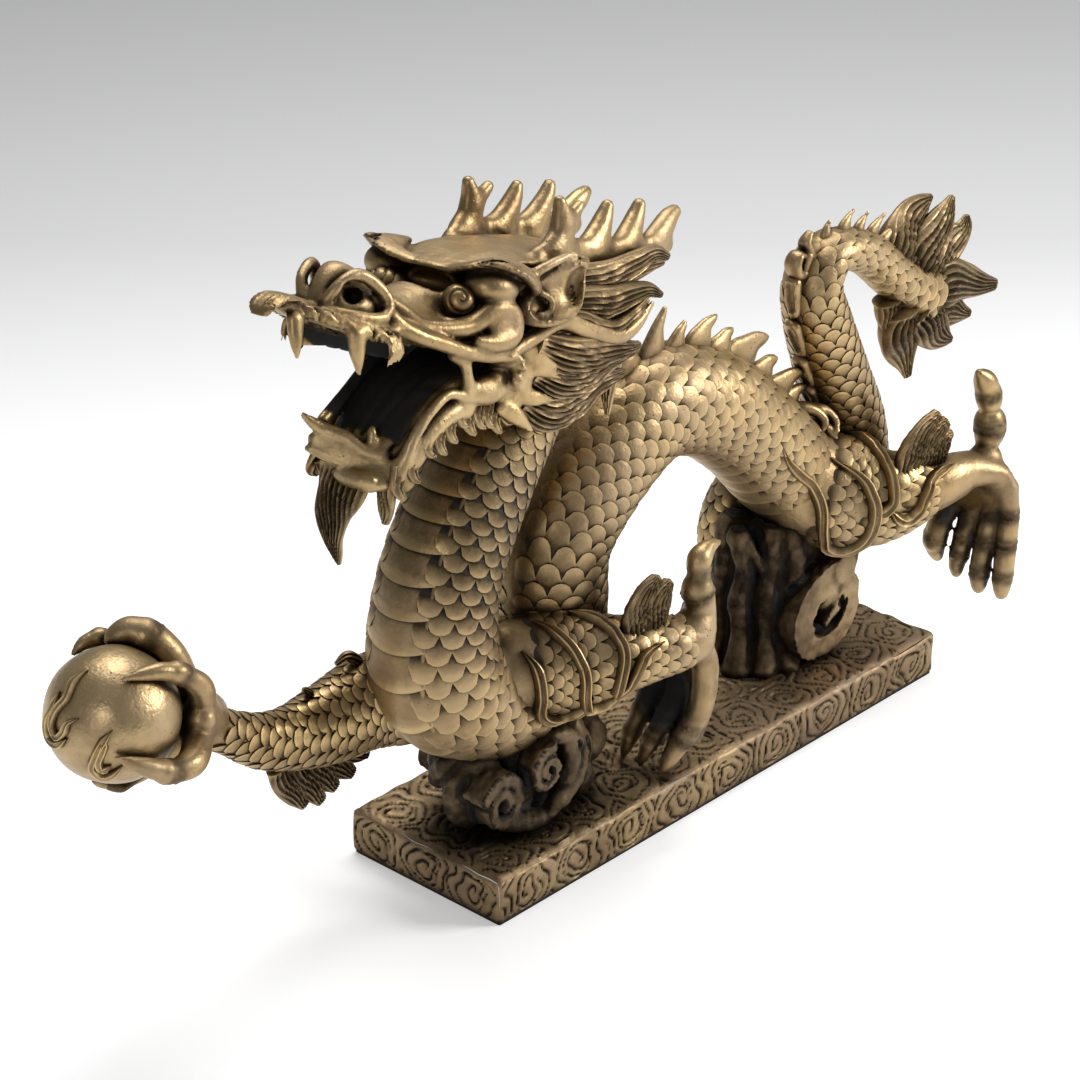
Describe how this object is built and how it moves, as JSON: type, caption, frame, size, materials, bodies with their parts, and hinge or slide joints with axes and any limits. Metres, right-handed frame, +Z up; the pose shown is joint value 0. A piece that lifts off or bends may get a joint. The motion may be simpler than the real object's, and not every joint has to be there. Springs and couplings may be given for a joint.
{
  "type": "dragon sculpture",
  "caption": "Cast brass dragon with an arched, scaled body striding over a cloud-carved plinth, mouth open and a flaming pearl held out in its right claw.",
  "frame": {"origin": "centre of the plinth's underside", "axes": "+Z up, +X along the plinth towards the tail, the head at -X and the dragon's left side at -Y"},
  "size_m": [0.9333, 0.2164, 0.5248],
  "materials": {
    "dragon_brass": "aged gold-brown cast brass, brown patina in the recesses, rubbed bright on the high places",
    "plinth_brass": "darker aged cast brass with dirt in the cloud relief and a near-black lower edge",
    "pearl_brass": "smooth aged brass, brighter than the body, with small casting pits"
  },
  "bodies": {
    "root": {"dragon": "dragon_brass", "plinth": "plinth_brass", "pearl": "pearl_brass"}
  },
  "joints": []
}
